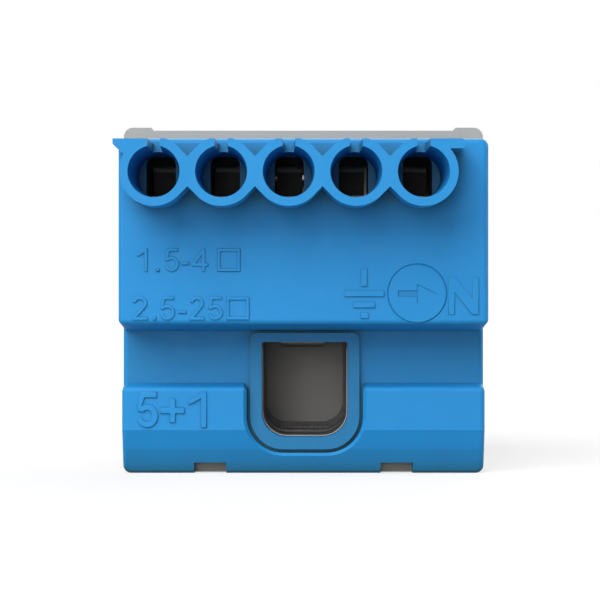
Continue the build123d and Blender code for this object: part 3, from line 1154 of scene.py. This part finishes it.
@dataclass
class PhotoCamera:
    """The photograph's view: level, square to the entry face.

    Lengths are in millimetres, the clip distances in metres, and frame_mm is the picture's width at the rims.
    """

    distance: float = 190.0
    x: float = -0.34
    z: float = 17.28
    frame_mm: float = 56.5
    sensor_mm: float = 36.0
    clip: Span = (0.005, 20.0)

    def place(self) -> None:
        """Make the camera and set it as the scene's."""
        data = bpy.data.cameras.new("photo_camera")
        data.sensor_width = self.sensor_mm
        data.sensor_fit = "HORIZONTAL"
        data.lens = self.sensor_mm * self.distance / self.frame_mm
        data.clip_start, data.clip_end = self.clip
        camera = bpy.data.objects.new("photo_camera", data)
        camera.location = (self.x * MM, row_y(-self.distance), self.z * MM)
        camera.rotation_euler = (math.pi / 2, 0.0, 0.0)
        bpy.context.scene.collection.objects.link(camera)
        bpy.context.scene.camera = camera


@dataclass(frozen=True)
class SoftLamp:
    """One square area lamp aimed at the block.

    Attributes:
        where: Its place in metres.
        size: Its side in metres.
        power: Its power in watts.
    """

    name: str
    where: Triple
    size: float
    power: float

    def hang(self) -> None:
        """Add the lamp to the scene."""
        data = bpy.data.lights.new(self.name, "AREA")
        data.size = self.size
        data.energy = self.power
        lamp = bpy.data.objects.new(self.name, data)
        lamp.location = self.where
        lamp.visible_camera = False
        aim = BLOCK_MIDDLE - Vector(self.where)
        lamp.rotation_euler = aim.to_track_quat("-Z", "Y").to_euler()
        bpy.context.scene.collection.objects.link(lamp)


BLOCK_MIDDLE = Vector((0.0, 0.0, 0.017))
LAMPS = (
    SoftLamp("key_lamp", (-0.205, -0.405, 0.400), 0.54, 4.5),
    SoftLamp("fill_lamp", (-0.05, -0.45, 0.055), 0.12, 0.34),
    SoftLamp("back_lamp", (0.10, 0.44, 0.14), 0.25, 0.80),
    SoftLamp("side_lamp", (0.42, 0.10, 0.15), 0.25, 0.75),
)


@dataclass
class Studio:
    """White surroundings, a floor that keeps the shadow, and soft lamps.

    Attributes:
        floor_half: Half the floor's side, in metres.
        floor_glow: How bright the floor is where it glows.
        floor_share: Share of the painted floor under the block; the rest glows.
        floor_reach: Distance from the block at which that share is 0, in metres.
        floor_near: Where it starts to go down, as a share of the reach.
        floor_paint: The painted floor's grey.
        floor_bounce: The grey that throws light back on the block.
        ambient: The surroundings' light on the block.
    """

    floor_half: float = 1.2
    floor_glow: float = 1.12
    floor_share: float = 0.46
    floor_reach: float = 0.22
    floor_near: float = 0.1
    floor_paint: float = 0.9
    floor_rough: float = 0.8
    floor_gloss: float = 0.1
    floor_bounce: float = 0.36
    ambient: float = 0.10

    def build(self) -> None:
        """Make the floor, the world and the lamps."""
        self._floor()
        self._world()
        for lamp in LAMPS:
            lamp.hang()
        bpy.context.scene.view_settings.view_transform = "Standard"

    def _floor(self) -> None:
        """Pale floor."""
        shape = bmesh.new()
        bmesh.ops.create_grid(shape, x_segments=1, y_segments=1, size=self.floor_half)
        mesh = bpy.data.meshes.new("studio_floor")
        shape.to_mesh(mesh)
        shape.free()
        floor = bpy.data.objects.new("studio_floor", mesh)
        bpy.context.scene.collection.objects.link(floor)
        mesh.materials.append(self._floor_finish())

    def _floor_finish(self) -> bpy.types.Material:
        """Make the floor's material: paint near the block, a glow farther away.

        Returns:
            The material.
        """
        material, paint, tree = NodeBench.start("pale_floor")
        paint.inputs["Base Color"].default_value = (*[self.floor_paint] * 3, 1.0)
        paint.inputs["Roughness"].default_value = self.floor_rough
        paint.inputs["Specular IOR Level"].default_value = self.floor_gloss
        glow = tree.nodes.new("ShaderNodeEmission")
        glow.inputs["Strength"].default_value = self.floor_glow
        place = tree.nodes.new("ShaderNodeTexCoord")
        away = tree.nodes.new("ShaderNodeVectorMath")
        away.operation = "LENGTH"
        tree.links.new(place.outputs["Object"], away.inputs[0])
        stretch = (self.floor_near * self.floor_reach, self.floor_reach)
        near = NodeBench.ranged(tree, away.outputs["Value"], stretch, (self.floor_share, 0.0), smooth=True)
        ground = NodeBench.choose(tree, near, glow.outputs["Emission"], paint.outputs["BSDF"])
        bounce = tree.nodes.new("ShaderNodeBsdfDiffuse")
        bounce.inputs["Color"].default_value = (*[self.floor_bounce] * 3, 1.0)
        seen = NodeBench.choose(tree, self._seen_directly(tree), bounce.outputs["BSDF"], ground)
        out = next(n for n in tree.nodes if n.type == "OUTPUT_MATERIAL")
        tree.links.new(seen, out.inputs["Surface"])
        return material

    def _world(self) -> None:
        """White to the camera and in reflections, soft light on the object."""
        world = bpy.data.worlds.new("white_room")
        bpy.context.scene.world = world
        world.use_nodes = True
        tree = world.node_tree
        light = next(n for n in tree.nodes if n.type == "BACKGROUND")
        white = tree.nodes.new("ShaderNodeBackground")
        for node, strength in ((light, self.ambient), (white, 1.0)):
            node.inputs["Color"].default_value = (1.0, 1.0, 1.0, 1.0)
            node.inputs["Strength"].default_value = strength
        shown = NodeBench.choose(tree, self._seen_directly(tree), light.outputs["Background"],
                                 white.outputs["Background"])
        out = next(n for n in tree.nodes if n.type == "OUTPUT_WORLD")
        tree.links.new(shown, out.inputs["Surface"])

    @staticmethod
    def _seen_directly(tree: Tree) -> Socket:
        """Tell camera, glossy and transmission rays from the rays that carry light.

        Args:
            tree: The node tree that asks.

        Returns:
            A socket that is 1 for those rays.
        """
        path = tree.nodes.new("ShaderNodeLightPath")
        result = path.outputs["Is Camera Ray"]
        for kind in ("Is Glossy Ray", "Is Transmission Ray"):
            result = NodeBench.maths(tree, "MAXIMUM", result, path.outputs[kind])
        return result


def main() -> None:
    """Build the block and its studio in order."""
    logging.basicConfig(level=logging.INFO, format="%(name)s: %(message)s")
    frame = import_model()
    PhotoCamera().place()
    finishes = Finishes()
    finishes.build()
    finishes.dress_nodes(frame)
    shop = PieceShop(finishes)
    FaceMarks(shop).build()
    WindowRim(shop).build()
    ClampScrew(shop).build()
    Studio().build()


if __name__ == "__main__":
    main()
